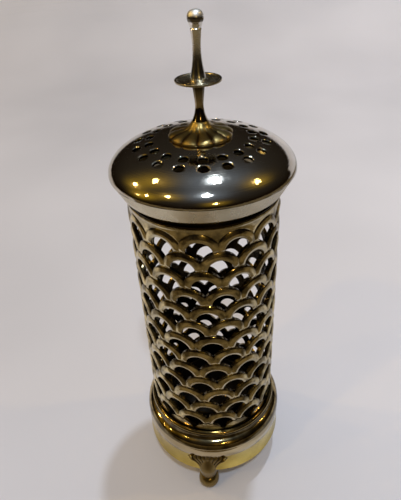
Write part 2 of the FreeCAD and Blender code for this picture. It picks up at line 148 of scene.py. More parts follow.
def make_piece(name, body, points, faces, material, slot, replaced, shade=None, crease=SMOOTH_ANGLE):
    """A closed mesh piece: equal points merged, faces turned outwards, smooth but for its creases.

    shade is a value for each point: 0 where the metal is bright, 1 where it stays dark and -1 where it is
    rubbed matt.
    """
    faces = [faces] if isinstance(faces, np.ndarray) else faces
    mesh = bpy.data.meshes.new(name)
    mesh.vertices.add(len(points))
    mesh.vertices.foreach_set("co", (np.asarray(points) * MM).astype(np.float32).ravel())
    corners = np.concatenate([f.ravel() for f in faces]).astype(np.int32)
    sizes = np.concatenate([np.full(len(f), f.shape[1]) for f in faces])
    mesh.loops.add(len(corners))
    mesh.loops.foreach_set("vertex_index", corners)
    mesh.polygons.add(len(sizes))
    mesh.polygons.foreach_set("loop_start", (np.cumsum(sizes) - sizes).astype(np.int32))
    mesh.update(calc_edges=True)
    if shade is not None:
        layer = mesh.attributes.new("shade", "FLOAT", "POINT")
        layer.data.foreach_set("value", np.asarray(shade, np.float32))
    work = bmesh.new()
    work.from_mesh(mesh)
    bmesh.ops.remove_doubles(work, verts=work.verts, dist=MERGE_DISTANCE)
    loose = [v for v in work.verts if not v.link_faces]
    bmesh.ops.delete(work, geom=loose, context="VERTS")
    bmesh.ops.recalc_face_normals(work, faces=work.faces)
    work.to_mesh(mesh)
    work.free()
    mesh.shade_smooth()
    mesh.set_sharp_from_angle(angle=crease)
    mesh.materials.append(material)
    piece = bpy.data.objects.new(name, mesh)
    bpy.context.scene.collection.objects.link(piece)
    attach(piece, body)
    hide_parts(*replaced)
    return piece


# Materials

# Sockets of the mix node that carry colours
FIRST_COLOUR, SECOND_COLOUR, MIXED_COLOUR = 6, 7, 2
# Where the noise of tarnish patches, of their gloss and of the stains in a web starts and ends
PATCH_RANGE, GLOSS_RANGE, STAIN_RANGE = (0.38, 0.72), (0.35, 0.7), (0.38, 0.62)
DEEPEST_STAIN = 0.8
# Level polishing lines and the rings left by spinning: scales of their noise, and their depths in metres
LINE_SCALE, LINE_STRETCH, LINE_DEPTH = 420.0, (1.0, 1.0, 9.0), 0.0004
RING_SCALE, RING_DEPTH = 2500.0, 0.00004


def node(tree, kind, **inputs):
    """A shader node with its inputs set by socket name; a socket as value makes a link."""
    made = tree.nodes.new(kind)
    for key, value in inputs.items():
        socket = made.inputs[key.replace("_", " ")]
        if isinstance(value, bpy.types.NodeSocket):
            tree.links.new(value, socket)
        else:
            socket.default_value = value
    return made


def mixed(tree, share, first, second):
    """Colour between first and second by share."""
    mix = tree.nodes.new("ShaderNodeMix")
    mix.data_type = "RGBA"
    inputs = (mix.inputs["Factor"], mix.inputs[FIRST_COLOUR], mix.inputs[SECOND_COLOUR])
    for socket, value in zip(inputs, (share, first, second)):
        if isinstance(value, bpy.types.NodeSocket):
            tree.links.new(value, socket)
        else:
            socket.default_value = value
    return mix.outputs[MIXED_COLOUR]


def stretched(tree, value, low, high, out_low, out_high):
    """Value moved from one range to another and held inside it."""
    spread = node(tree, "ShaderNodeMapRange", Value=value)
    for name, number in (("From Min", low), ("From Max", high), ("To Min", out_low), ("To Max", out_high)):
        spread.inputs[name].default_value = number
    return spread.outputs["Result"]


def noise(tree, place, scale, detail=4.0, roughness=0.55):
    """Cloudy noise about one half; scale is its clouds in a metre."""
    made = node(tree, "ShaderNodeTexNoise", Vector=place, Scale=scale, Detail=detail, Roughness=roughness)
    return made.outputs["Fac"]


def plate(name, bright, dull, gloss, haze, dark=None, web=None, patch_scale=70.0, scratch=0.05, spun=0.0,
          rubbed=None):
    """Polished plate: cloudy tarnish in patches, fine polishing lines, and dark painted shade where marked.

    bright and dull are colours; gloss and haze are the roughness of clear and of clouded metal. With a dark
    colour, the metal darkens by the shade of its points. With a web colour as well, a shade of one half
    stands for that colour and only deeper shades turn dark. spun is the strength of fine rings about the
    lantern's axis. rubbed is the roughness where the shade is -1, as on a part that hands have rubbed matt.
    """
    material = bpy.data.materials.new(name)
    material.use_nodes = True
    tree = material.node_tree
    shader = tree.nodes["Principled BSDF"]
    place = tree.nodes.new("ShaderNodeTexCoord").outputs["Object"]
    patches = stretched(tree, noise(tree, place, patch_scale), *PATCH_RANGE, 0.0, 1.0)
    colour = mixed(tree, patches, (*bright, 1), (*dull, 1))
    rough = stretched(tree, noise(tree, place, patch_scale * 2), *GLOSS_RANGE, gloss, haze)
    if dark:
        mark = node(tree, "ShaderNodeAttribute")
        mark.attribute_name = "shade"
        shade = mark.outputs["Fac"]
        if rubbed:
            handling = stretched(tree, shade, -1.0, 0.0, 1.0, 0.0)
            rough = mixed(tree, handling, rough, (rubbed, rubbed, rubbed, 1))
        if web:
            stain_and_shade = stretched(tree, noise(tree, place, patch_scale * 3), *STAIN_RANGE, 0.0, DEEPEST_STAIN)
            web_colour = mixed(tree, stain_and_shade, (*web, 1), (*dark, 1))
            colour = mixed(tree, stretched(tree, shade, 0.0, 0.5, 0.0, 1.0), colour, web_colour)
            shade = stretched(tree, shade, 0.5, 1.0, 0.0, 1.0)
        colour = mixed(tree, shade, colour, (*dark, 1))
    tree.links.new(colour, shader.inputs["Base Color"])
    tree.links.new(rough, shader.inputs["Roughness"])
    shader.inputs["Metallic"].default_value = 1.0
    stretch = node(tree, "ShaderNodeMapping", Vector=place, Scale=LINE_STRETCH)
    lines = noise(tree, stretch.outputs["Vector"], LINE_SCALE, detail=3.0, roughness=0.6)
    bump = node(tree, "ShaderNodeBump", Height=lines, Strength=scratch, Distance=LINE_DEPTH)
    if spun:
        flat = node(tree, "ShaderNodeVectorMath", Vector=place)
        flat.operation = "MULTIPLY"
        flat.inputs[1].default_value = (1, 1, 0)
        from_axis = node(tree, "ShaderNodeVectorMath", Vector=flat.outputs["Vector"])
        from_axis.operation = "LENGTH"
        rings = tree.nodes.new("ShaderNodeTexNoise")
        rings.noise_dimensions = "1D"
        rings.inputs["Scale"].default_value = RING_SCALE
        tree.links.new(from_axis.outputs["Value"], rings.inputs["W"])
        bump = node(tree, "ShaderNodeBump", Height=rings.outputs["Fac"], Strength=spun, Distance=RING_DEPTH,
                    Normal=bump.outputs["Normal"])
    tree.links.new(bump.outputs["Normal"], shader.inputs["Normal"])
    return material


# A plate's dark colour is painted shade, and on some pieces painted dark reflection, laid on by their shade
base_plate = plate("base_plate", (0.60, 0.51, 0.33), (0.48, 0.39, 0.22), gloss=0.05, haze=0.16,
                   dark=(0.03, 0.02, 0.006), web=(0.57, 0.45, 0.23))
bead_plate = plate("bead_plate", (0.50, 0.40, 0.20), (0.38, 0.29, 0.13), gloss=0.10, haze=0.20)
stem_plate = plate("stem_plate", (0.46, 0.38, 0.24), (0.20, 0.15, 0.075), gloss=0.04, haze=0.10,
                   dark=(0.03, 0.022, 0.01), patch_scale=160.0)
dome_silver = plate("dome_plate", (0.66, 0.63, 0.57), (0.54, 0.49, 0.40), gloss=0.03, haze=0.14,
                    dark=(0.006, 0.005, 0.004), spun=0.35)
lattice_metal = plate("lattice_plate", (0.64, 0.57, 0.41), (0.53, 0.45, 0.27), gloss=0.14, haze=0.26,
                      dark=(0.03, 0.02, 0.008), web=(0.88, 0.735, 0.41), scratch=0.02)
gilt = plate("warm_gilt", (0.47, 0.36, 0.135), (0.29, 0.20, 0.065), gloss=0.28, haze=0.46,
             dark=(0.05, 0.028, 0.01))
golden = plate("golden_plate", (0.68, 0.535, 0.15), (0.50, 0.38, 0.09), gloss=0.12, haze=0.28)
cast_brown = plate("cast_foot_metal", (0.34, 0.25, 0.09), (0.20, 0.135, 0.045), gloss=0.28, haze=0.44,
                   dark=(0.03, 0.02, 0.008))
worn = plate("worn_disc_plate", (0.54, 0.48, 0.35), (0.40, 0.34, 0.21), gloss=0.20, haze=0.34,
             dark=(0.05, 0.04, 0.02))
handled = plate("handled_spindle_plate", (0.95, 0.93, 0.88), (0.85, 0.82, 0.74), gloss=0.20, haze=0.30,
                dark=(0.05, 0.038, 0.02), rubbed=0.5)
satin = plate("satin_collar_plate", (0.63, 0.555, 0.39), (0.55, 0.475, 0.315), gloss=0.24, haze=0.32,
              scratch=0.02)
# Dark plate: painted shade on the neck ring in the gap under the lid, and a smoke-darkened bezel inside the
# lid
smoked_and_shaded = plate("smoked_and_shaded_inside", (0.12, 0.10, 0.06), (0.06, 0.045, 0.025), gloss=0.3, haze=0.5)
# Cup dark with smoke and with painted shade, as it stands inside the lantern
tin = plate("smoked_and_shaded_tin", (0.055, 0.048, 0.04), (0.03, 0.025, 0.02), gloss=0.45, haze=0.65)
steel = plate("plain_steel", (0.52, 0.52, 0.52), (0.38, 0.37, 0.35), gloss=0.28, haze=0.45)


# Fish-scale sleeve. The lattice is drawn flat, x round the sleeve and v up, from the centre of an arch.

sleeve_bottom, sleeve_top = levels("scale_sleeve")
sleeve_radius = reach("scale_sleeve")
sleeve_wall = 2.4
sleeve_back = sleeve_radius - sleeve_wall
scales_around = 13
scale_rows = 13
row_pitch = 8.98
row_drift = math.radians(1.1)
first_scale_angle = math.radians(2.0)
top_margin = 6.5
half_scale = math.pi * sleeve_radius / scales_around
arch_band = 3.6
arch_outer = half_scale + 1.225
arch_inner = arch_outer - arch_band
top_row_centre = sleeve_top - top_margin - arch_inner

relief_depth = 0.9
plain_height = 0.30
# Height of an arch's face at stations across its band, from the opening's edge outwards: a rounded rib
# beside the opening that slopes away to the next scale
cross_stations = np.array([0, 0.05, 0.11, 0.18, 0.26, 0.34, 0.44, 0.58, 0.77, 0.92, 1.0])
face_heights = np.array([0.58, 0.64, 0.715, 0.80, 0.865, 0.89, 0.86, 0.70, 0.46, 0.27, 0.06])
edge_height = face_heights[-1]
# The plain band beyond the outer edges: shares of the way to its lip, its shade there, tarnish with
# painted shade in the groove by the arches, and how much faster than the way its face swells
border_steps = np.array([0, 0.06, 0.16, 0.32, 0.6])
border_marks = np.array([0.8, 0.68, 0.562, 0.462, 0.369])
border_swelling = 4
# The lip that ends the plain band: distances from its level, heights of its face, and its shade: tarnish at
# its foot, rubbed bright on top, painted shade where it turns in
lip_distances = np.array([2.1, 1.75, 1.4, 1.05, 0.82, 0.66, 0.0])
lip_heights = np.array([0.30, 0.38, 0.50, 0.56, 0.48, 0.05, 0.0])
lip_marks = np.array([0.34, 0.2, 0.1, 0.1, 0.3, 1.0, 1.0])
rim_stations = 5
leg_steps = 5
flank_steps = 6
# Shades: tarnish on the web, painted shade in the groove at an arch's outer edge and inside the sleeve
web_shade, painted_groove_shade, painted_inside_shade = 0.5, 0.3, 1.0
web_start, groove_start, stain_run = 0.24, 0.74, 0.2
lattice_crease = math.radians(50)


def relief(across):
    """Height of an arch's face, in straight steps between the stations across its band."""
    return np.interp(across, cross_stations, face_heights)


def tarnish(across):
    """Rubbed bright on the rib, tarnish on the web beyond it, painted shade in the groove at the outer edge.
    """
    web = web_shade * smoothstep((across - web_start) / stain_run)
    return web + painted_groove_shade * smoothstep((across - groove_start) / stain_run)


def arch_half():
    """Right half of one arch: grids of flat points, heights and shades, and the rows of V and next foot.

    Rows go round the arch from the foot of its leg to its crown, columns across the band from the inner
    circle to the outer edge. The outer edge is the line midway to the next arch up to the V where the two
    outer circles cross, and then the outer circle. The foot lies on the outer circle of the arch below, and
    the last rows below the crown are divided as that foot is, so that both share their points.
    """
    distance = math.hypot(half_scale, row_pitch)
    along = (distance ** 2 + arch_inner ** 2 - arch_outer ** 2) / (2 * distance)
    aside = math.sqrt(arch_inner ** 2 - along ** 2)
    toward_below = np.array([half_scale, -row_pitch]) / distance
    square_to_it = np.array([row_pitch, half_scale]) / distance
    foot_inner = toward_below * along + square_to_it * aside
    foot_outer = np.array([half_scale, arch_outer - row_pitch])
    v_angle = math.acos(half_scale / arch_outer)
    v_height = arch_outer * math.sin(v_angle)

    def stations(length):
        """Ways across the band: the rib's are the same in every row, the others fill the row's length."""
        rim = cross_stations[rim_stations - 1]
        rest = (cross_stations - rim) / (1 - rim)
        inside = np.minimum(cross_stations, rim) * arch_band
        return inside + np.clip(rest, 0, 1) * (length - rim * arch_band)[:, None]

    foot_length = np.linalg.norm(foot_outer - foot_inner)
    foot_share = stations(np.array([foot_length]))[0] / foot_length
    foot_x = foot_inner[0] + (foot_outer[0] - foot_inner[0]) * foot_share
    crown_x = half_scale - foot_x

    leg = np.linspace(math.atan2(foot_inner[1], foot_inner[0]), v_angle, leg_steps + 1)
    crown = np.arccos(crown_x / arch_outer)
    flank = np.linspace(v_angle, crown[0], flank_steps + 1)
    turn = np.concatenate([leg[:-1], flank[:-1], crown])
    inner = arch_inner * np.stack([np.cos(turn), np.sin(turn)], -1)
    outer = arch_outer * np.stack([np.cos(turn), np.sin(turn)], -1)
    midway = np.linspace(foot_outer[1], v_height, leg_steps + 1)
    outer[:leg_steps + 1] = np.stack([np.full(leg_steps + 1, half_scale), midway], -1)

    run = outer - inner
    length = np.linalg.norm(run, axis=1)
    share = stations(length) / length[:, None]
    points = inner[:, None] + run[:, None] * share[..., None]
    points[0, :, 0] = foot_x
    points[0, :, 1] = np.sqrt(arch_outer ** 2 - (foot_x - half_scale) ** 2) - row_pitch

    across = (np.hypot(points[..., 0], points[..., 1]) - arch_inner) / arch_band
    heights = relief(across)
    # A leg rises out of the groove over its first half
    rise = smoothstep(np.arange(len(turn)) / (leg_steps / 2))[:, None]
    heights = edge_height + (heights - edge_height) * rise
    return points, heights, tarnish(across), leg_steps, leg_steps + flank_steps


def on_sleeve(flat, radius, row, column):
    """Flat lattice points bent round the sleeve; rows are turned by half a scale, with a steady drift."""
    z = top_row_centre - row * row_pitch + flat[..., 1]
    drift = row_drift * (top_row_centre - z) / row_pitch
    turn = (column + row / 2) * TURN / scales_around + first_scale_angle
    angle = flat[..., 0] / sleeve_radius + turn + drift
    return np.stack([radius * np.sin(angle), -radius * np.cos(angle), z], -1)


def scale_unit():
    """Flat points, radii, shades and faces of one arch: its face, its back and the walls of its openings."""
    flat, heights, marks, v_row, foot_row = arch_half()
    rows, columns = heights.shape
    count = rows * columns
    face = np.arange(count).reshape(rows, columns)
    back = face + count
    inner_wall = np.stack([face[:-1, 0], face[1:, 0], back[1:, 0], back[:-1, 0]], -1)
    flank = slice(v_row, foot_row + 1)
    front_edge, back_edge = face[flank, -1], back[flank, -1]
    flank_wall = np.stack([front_edge[:-1], front_edge[1:], back_edge[1:], back_edge[:-1]], -1)
    back_quads = np.stack([back[1:-1, 0], back[1:-1, -1], back[2:, -1], back[2:, 0]], -1)
    back_foot = np.concatenate([back[0], back[1, -1:], back[1, :1]])[None]
    quads = np.vstack([grid_faces(rows, columns), inner_wall, flank_wall, back_quads])

    face_radius = sleeve_radius - relief_depth + heights
    radius = np.concatenate([face_radius.ravel(), np.full(count, sleeve_back)])
    # The back of the lattice, inside the sleeve, is dark with painted shade
    shade = np.concatenate([marks.ravel(), np.full(count, painted_inside_shade)])
    right = np.vstack([flat.reshape(-1, 2)] * 2)
    left = right * (-1, 1)
    points = np.vstack([right, left])
    faces = [np.vstack([quads, quads + 2 * count]), np.vstack([back_foot, back_foot + 2 * count])]
    return points, np.tile(radius, 2), np.tile(shade, 2), faces


def border_unit(level, with_flanks):
    """Plain band between the outer edge of a row of arches and a level: face, back, end rim, flank walls.

    Points run from the edge straight towards the level while the face swells to the plain surface, which
    ends in a narrow raised lip along the level.
    """
    flat, _, _, v_row, foot_row = arch_half()
    edge = flat[v_row:, -1]
    to_level = math.copysign(1.0, level) * lip_distances
    swell = edge_height + (plain_height - edge_height) * smoothstep(border_steps * border_swelling)
    swell = np.concatenate([swell, lip_heights])
    rows, columns = len(edge), len(swell)
    x = np.repeat(edge[:, :1], columns, 1)
    run = edge[:, 1:] + (level - to_level[0] - edge[:, 1:]) * border_steps
    v = np.hstack([run, np.tile(level - to_level, (rows, 1))])
    count = rows * columns
    face = np.arange(count).reshape(rows, columns)
    back = face + count
    rim = np.stack([face[:-1, -1], face[1:, -1], back[1:, -1], back[:-1, -1]], -1)
    back_quads = np.stack([back[:-1, 0], back[:-1, -1], back[1:, -1], back[1:, 0]], -1)
    quads = [grid_faces(rows, columns), rim, back_quads]
    if with_flanks:
        open_rows = slice(0, foot_row - v_row + 1)
        front_edge, back_edge = face[open_rows, 0], back[open_rows, 0]
        quads.append(np.stack([front_edge[:-1], front_edge[1:], back_edge[1:], back_edge[:-1]], -1))
    quads = np.vstack(quads)
    face_radius = np.tile(sleeve_radius - relief_depth + swell, rows)
    radius = np.concatenate([face_radius, np.full(count, sleeve_back)])
    # Tarnish and painted shade along the band, painted shade where the lip turns in and over the back
    marks = np.concatenate([border_marks, lip_marks])
    shade = np.concatenate([np.tile(marks, rows), np.full(count, painted_inside_shade)])
    right = np.vstack([np.stack([x, v], -1).reshape(-1, 2)] * 2)
    points = np.vstack([right, right * (-1, 1)])
    return points, np.tile(radius, 2), np.tile(shade, 2), [np.vstack([quads, quads + 2 * count])]


def repeated(unit, rows):
    """A unit of the lattice set at every column of the given rows."""
    flat, radius, shade, faces = unit
    row, column = np.meshgrid(rows, np.arange(scales_around), indexing="ij")
    row, column = row.reshape(-1, 1), column.reshape(-1, 1)
    points = on_sleeve(flat[None], radius[None], row, column).reshape(-1, 3)
    start = (np.arange(len(row)) * len(flat))[:, None, None]
    faces = [(f[None] + start).reshape(-1, f.shape[1]) for f in faces]
    return points, faces, np.tile(shade, len(row))


def fish_scale_sleeve():
    """Pierced sleeve: rows of arches bent round it, with a plain band above and below."""
    top_level = sleeve_top - top_row_centre
    bottom_level = sleeve_bottom - top_row_centre + scale_rows * row_pitch
    units = [
        repeated(scale_unit(), np.arange(scale_rows)),
        repeated(border_unit(top_level, False), np.array([0])),
        repeated(border_unit(bottom_level, True), np.array([scale_rows])),
    ]
    points, faces = joined([(p, f) for p, f, s in units])
    shade = np.concatenate([s for p, f, s in units])
    make_piece("fish_scale_sleeve", "body", points, faces, lattice_metal, "lattice", ["scale_sleeve"],
               shade, lattice_crease)


fish_scale_sleeve()


# Lid

dome_bottom, dome_top = levels("lid_dome")
dome_radius = reach("lid_dome")
dome_rise = 13.0
dome_wall = 1.2
dome_side_power = 2.376
dome_crown_power = 1.887
seat_radius, seat_middle = 13.65, 6.0
stud_hole = 0.95
vents_around = 18
vent_radius = 1.9
vent_circles = (21.0, 26.0)
vent_reach = 2.45
# Depth down a vent's wall over which painted shade turns it dark
vent_shade_depth = 0.3
# The rounded lip of a vent: shares of the way from its patch's border to its edge, and the drop there
vent_lip_shares = np.array([0, 0.35, 0.6, 0.74, 0.86, 0.94, 0.99, 1.0])
vent_lip_drops = np.array([0, 0, 0, 0, 0.03, 0.10, 0.22, 0.36])
first_vent_angle = math.radians(8.0)
sector_steps, vent_side_steps, crown_steps, shoulder_steps = 8, 5, 3, 25


def dome_height(radius, rim, rise):
    """Superellipse over the rim, rise (1 - (r / rim)^p)^(1 / q), flat inside the finial's seat."""
    radius = np.clip(radius, seat_radius, rim)
    return dome_bottom + rise * (1 - (radius / rim) ** dome_side_power) ** (1 / dome_crown_power)


def dome_shell(plan, lip):
    """Top and underside points of the dome over plan points (x, y); lip raises or lowers the top."""
    radius = np.hypot(plan[..., 0], plan[..., 1])
    top = dome_height(radius, dome_radius, dome_rise) + lip
    under = dome_height(radius, dome_radius - dome_wall, dome_rise - dome_wall)
    return (np.concatenate([plan, top[..., None]], -1), np.concatenate([plan, under[..., None]], -1))


def dome_band(radii):
    """Plain part of one sector between radii: a grid of angle and radius, seen from above."""
    angle = np.linspace(-0.5, 0.5, sector_steps + 1)[:, None] * TURN / vents_around
    return np.stack([np.sin(angle) * radii, -np.cos(angle) * radii], -1)


def vent_patch(circle):
    """Patch of one sector with a round vent: rings blend from the patch's border to the vent's edge."""
    half_angle = math.pi / vents_around
    angle = np.linspace(-half_angle, half_angle, sector_steps + 1)
    radial = np.linspace(circle - vent_reach, circle + vent_reach, vent_side_steps + 1)
    ones_a, ones_r = np.ones(sector_steps), np.ones(vent_side_steps)
    side_angle = np.concatenate([angle[:-1], half_angle * ones_r, angle[:0:-1], -half_angle * ones_r])
    side_radius = np.concatenate([radial[0] * ones_a, radial[:-1], radial[-1] * ones_a, radial[:0:-1]])
    border = np.stack([np.sin(side_angle) * side_radius, -np.cos(side_angle) * side_radius], -1)
    centre = np.array([0, -circle])
    away = border - centre
    edge = centre + away / np.linalg.norm(away, axis=1)[:, None] * vent_radius
    plan = border[None] + (edge - border)[None] * vent_lip_shares[:, None, None]
    return plan, np.broadcast_to(-vent_lip_drops[:, None], plan.shape[:2])


def two_sided(plan, lip, ring, walls):
    """Top and underside grids over a plan, with walls down the listed edges; underside and vent walls are
    painted shade.

    ring tells that the plan's columns close into a ring.
    """
    top, under = dome_shell(plan, lip)
    rows, columns = lip.shape
    count = rows * columns
    face = np.arange(count).reshape(rows, columns)
    quads = [grid_faces(rows, columns, close_columns=ring)]
    quads.append(quads[0] + count)
    for edge in walls:
        line = face[edge]
        line = np.append(line, line[0]) if ring else line
        quads.append(np.stack([line[:-1], line[1:], line[1:] + count, line[:-1] + count], -1))
    # Painted shade: vent walls darken with depth below the top, and the whole underside is dark
    shade = np.concatenate([np.clip(-lip / vent_shade_depth, 0, 1).ravel() ** 3, np.ones(count)])
    return np.vstack([top.reshape(-1, 3), under.reshape(-1, 3)]), [np.vstack(quads)], shade


def vented_dome():
    """Dome in equal sectors turned about the axis, each with plain bands and two vent patches."""
    inner_edge = vent_circles[0] - vent_reach
    outer_edge = vent_circles[1] + vent_reach
    crown_radii = np.linspace(seat_radius, inner_edge, crown_steps + 1)
    crown = dome_band(np.concatenate([[stud_hole, seat_middle], crown_radii]))
    strip = dome_band(np.array([vent_circles[0] + vent_reach, vent_circles[1] - vent_reach]))
    turn_in = np.sin(np.linspace(0, math.pi / 2, shoulder_steps + 1))
    shoulder = dome_band(outer_edge + (dome_radius - outer_edge) * turn_in)
    sector = [two_sided(crown, np.zeros(crown.shape[:2]), False, [(slice(None), 0)]),
              two_sided(strip, np.zeros(strip.shape[:2]), False, []),
              two_sided(shoulder, np.zeros(shoulder.shape[:2]), False, [])]
    for circle in vent_circles:
        plan, lip = vent_patch(circle)
        sector.append(two_sided(plan, lip, True, [-1]))
    points, faces = joined([(p, f) for p, f, s in sector])
    shade = np.tile(np.concatenate([s for p, f, s in sector]), vents_around)
    turns = first_vent_angle + TURN * np.arange(vents_around) / vents_around
    whole = joined([(turned_about(points, turn), faces) for turn in turns])
    make_piece("vented_dome", "lid", *whole, dome_silver, "plate", ["lid_dome"], shade)


vented_dome()


def collar():
    """Undercut ring from the dome's rim in to the neck: one closed profile turned about the axis."""
    bottom, top = levels("lid_collar")
    rim = reach("lid_collar")
    foot, wall, bore, cove_depth = 33.2, 1.2, 28.1, 0.15
    lip_bulge, foot_edge, foot_rise, rim_edge = -0.12, 0.35, 0.25, 0.1
    lip_end = (foot + 1.35, bottom + 0.85)
    rim_end = (rim + 0.25, top - rim_edge)
    lip = bow((foot, bottom + foot_rise), lip_end, lip_bulge, steps=6)
    cove = bow(lip_end, rim_end, 0.0)
    inside = bow((rim - wall, top), (foot - wall, bottom + wall), cove_depth)
    profile = np.vstack([[(bore, bottom), (foot - foot_edge, bottom)], lip, cove[1:], [(rim + rim_edge, top)],
                         inside, [(bore, bottom + wall)]])
    points, faces = lathe(profile)
    make_piece("cove_collar", "lid", points, faces, satin, "plate", ["lid_collar"])


collar()


# Finial

def rosette():
    """Fluted foot of the finial: radius and height from a low cushion, with rounded petals along the angle.

    Across a petal q runs from -1 to 1 and the petal swells as sqrt(1 - (fullness q)^2); the swell grows
    outwards and also scallops the edge.
    """
    bottom, top = levels("finial_rosette")
    outer, stem, petals, around = reach("finial_rosette"), 3.1, 12, 240
    edge_drop, scallop, flute_depth, fullness, edge_fade = 1.1, 0.75, 0.95, 0.94, 0.35
    skirt_set, skirt_height, tuck_set = 0.1, 0.3, 0.7
    flute_growth, valley_growth, painted_valley_shade, painted_under_shade = 1.5, 2, 2.2, 0.8
    petal_crease = math.radians(60)
    angle = TURN * np.arange(around)[:, None] / around
    q = (angle / TURN * petals) % 1.0 * 2 - 1
    swell = np.sqrt(1 - (fullness * q) ** 2)
    u = np.concatenate([np.linspace(0, 0.94, 18), [0.975, 1.0]])[None]
    edge = outer - scallop * (1 - swell)
    radius = stem + (edge - stem) * u
    cushion = spline([(0.0, 1.0), (0.12, 0.68), (0.30, 0.46), (0.55, 0.33), (0.78, 0.23), (0.93, 0.11),
                      (1.0, 0.0)])
    sweep = bottom + edge_drop + (top - bottom - edge_drop) * np.interp(u, cushion[:, 0], cushion[:, 1])
    height = sweep + flute_depth * smoothstep(u * flute_growth) * (swell - 1) * (1 - edge_fade * u)
    skirt = np.stack([edge[:, 0] - skirt_set, np.full(around, bottom + skirt_height)], -1)
    tuck = np.stack([edge[:, 0] - tuck_set, np.full(around, bottom)], -1)
    bore_low = np.tile([stud_hole, bottom], (around, 1))
    bore_high = np.tile([stud_hole, top], (around, 1))
    section = np.concatenate([np.stack([radius, height], -1), skirt[:, None], tuck[:, None],
                              bore_low[:, None], bore_high[:, None]], 1)
    out, up = section[..., 0], section[..., 1]
    points = np.stack([out * np.sin(angle), -out * np.cos(angle), up], -1)
    # Painted shade down the valleys between the petals and over the whole underside
    valley = np.clip((1 - swell) * painted_valley_shade, 0, 1) * smoothstep(u * valley_growth)
    under = np.full((around, section.shape[1] - u.size), painted_under_shade)
    shade = np.concatenate([valley, under], 1)
    faces = grid_faces(around, section.shape[1], close_rows=True, close_columns=True)
    make_piece("petal_rosette", "lid", points.reshape(-1, 3), faces, gilt, "gilt", ["finial_rosette"],
               shade.ravel(), petal_crease)


rosette()


def turned_piece(name, body, profile, material, slot, replaced, segments=96, shade=None):
    """A closed profile turned about the axis; shade is a value for each point of the profile."""
    points, faces = lathe(profile, segments)
    shade = None if shade is None else np.tile(shade, segments)
    return make_piece(name, body, points, faces, material, slot, [replaced], shade)


def lower_stem():
    """Baluster between rosette and disc: a waisted spline turned about the axis."""
    bottom, top = levels("finial_lower_stem")
    outside = spline([(3.1, bottom), (2.65, bottom + 1.0), (2.1, bottom + 2.6), (1.72, bottom + 4.6),
                      (1.66, bottom + 6.0), (1.82, bottom + 8.2), (2.2, bottom + 11.4), (2.5, top - 0.9),
                      (2.6, top)])
    profile = np.vstack([outside, [(stud_hole, top), (stud_hole, bottom)]])
    # Painted shade under the disc and painted dark reflection low on the stem
    shade_levels = [bottom, bottom + 4.0, bottom + 6.5, top - 5.0, top - 2.0]
    stain_and_shade = np.interp(profile[:, 1], shade_levels, [0.4, 0.6, 0.0, 0.5, 0.9])
    turned_piece("baluster_stem", "lid", profile, stem_plate, "plate", "finial_lower_stem", shade=stain_and_shade)


def drip_disc():
    """Disc with a raised rim, a ring and a boss: rounded straight runs turned about the axis."""
    bottom, top = levels("finial_disc")
    rim = reach("finial_disc")
    profile = rounded([
        (stud_hole, bottom, 0), (2.6, bottom, 0.1), (rim - 0.5, bottom + 0.42, 0.5),
        (rim, bottom + 0.6, 0.25), (rim, top, 0.25), (rim - 0.8, top, 0.2), (rim - 1.3, top - 0.45, 0.3),
        (6.0, top - 0.5, 0.1), (5.8, top - 0.35, 0.1), (5.4, top - 0.35, 0.1), (5.2, top - 0.5, 0.1),
        (3.7, top - 0.5, 0.2), (3.1, top, 0.2), (stud_hole, top, 0),
    ])
    # Painted shade: the underside of the disc is dark
    edge_level = bottom + 0.5
    underside = (profile[:, 1] < edge_level).astype(float)
    turned_piece("turned_disc", "lid", profile, worn, "plate", "finial_disc", segments=144, shade=underside)


def spindle():
    """Waisted shaft, groove and knob, bored for the stud: splines turned about the axis."""
    bottom, top = levels("finial_spindle")
    grip = 8.05
    shaft = spline([(3.0, bottom), (2.95, bottom + 0.6), (2.55, bottom + 2.2), (2.08, bottom + 4.6),
                    (1.72, bottom + 7.4), (1.58, bottom + 10.0), (1.64, bottom + 12.6), (1.86, bottom + 15.2),
                    (2.1, bottom + 17.0)])
    knob = spline([(2.12, bottom + 17.75), (2.38, bottom + 18.6), (2.78, bottom + 19.5), (3.0, bottom + 20.5),
                   (2.86, bottom + 21.6), (2.3, bottom + 22.55), (1.3, bottom + 23.15), (0.5, top - 0.02),
                   (0.0, top)])
    groove = [(2.0, bottom + 17.15), (1.86, bottom + 17.35), (1.96, bottom + 17.6)]
    core = [(0.0, bottom + grip), (stud_hole, bottom + grip), (stud_hole, bottom)]
    profile = np.vstack([shaft, groove, knob, core])
    # Painted dark reflection above the disc and in a belt round the knob, pale up the shaft, and the knob's
    # matt tip
    shade_levels = bottom + np.array([0.6, 2.5, 8.0, 11.0, 19.2, 19.6, 20.7, 21.0, 21.5])
    stain_and_shade = np.interp(profile[:, 1], shade_levels, [0.3, 0.7, 0.5, 0.0, 0.0, 0.85, 0.85, 0.0, -1.0])
    turned_piece("knob_spindle", "lid", profile, handled, "plate", "finial_spindle", shade=stain_and_shade)


lower_stem()
drip_disc()
spindle()


# Base

plinth_bottom, plinth_top = levels("plinth_ring")
plinth_rim = reach("plinth_ring")
plinth_head = plinth_rim - 0.4
plinth_cove = 0.5


def plinth_face(height):
    """Radius of the plinth's coved face: a straight flare less a parabola."""
    s = (plinth_top - height) / (plinth_top - plinth_bottom)
    return plinth_head + (plinth_rim - plinth_head) * s - plinth_cove * 4 * s * (1 - s)


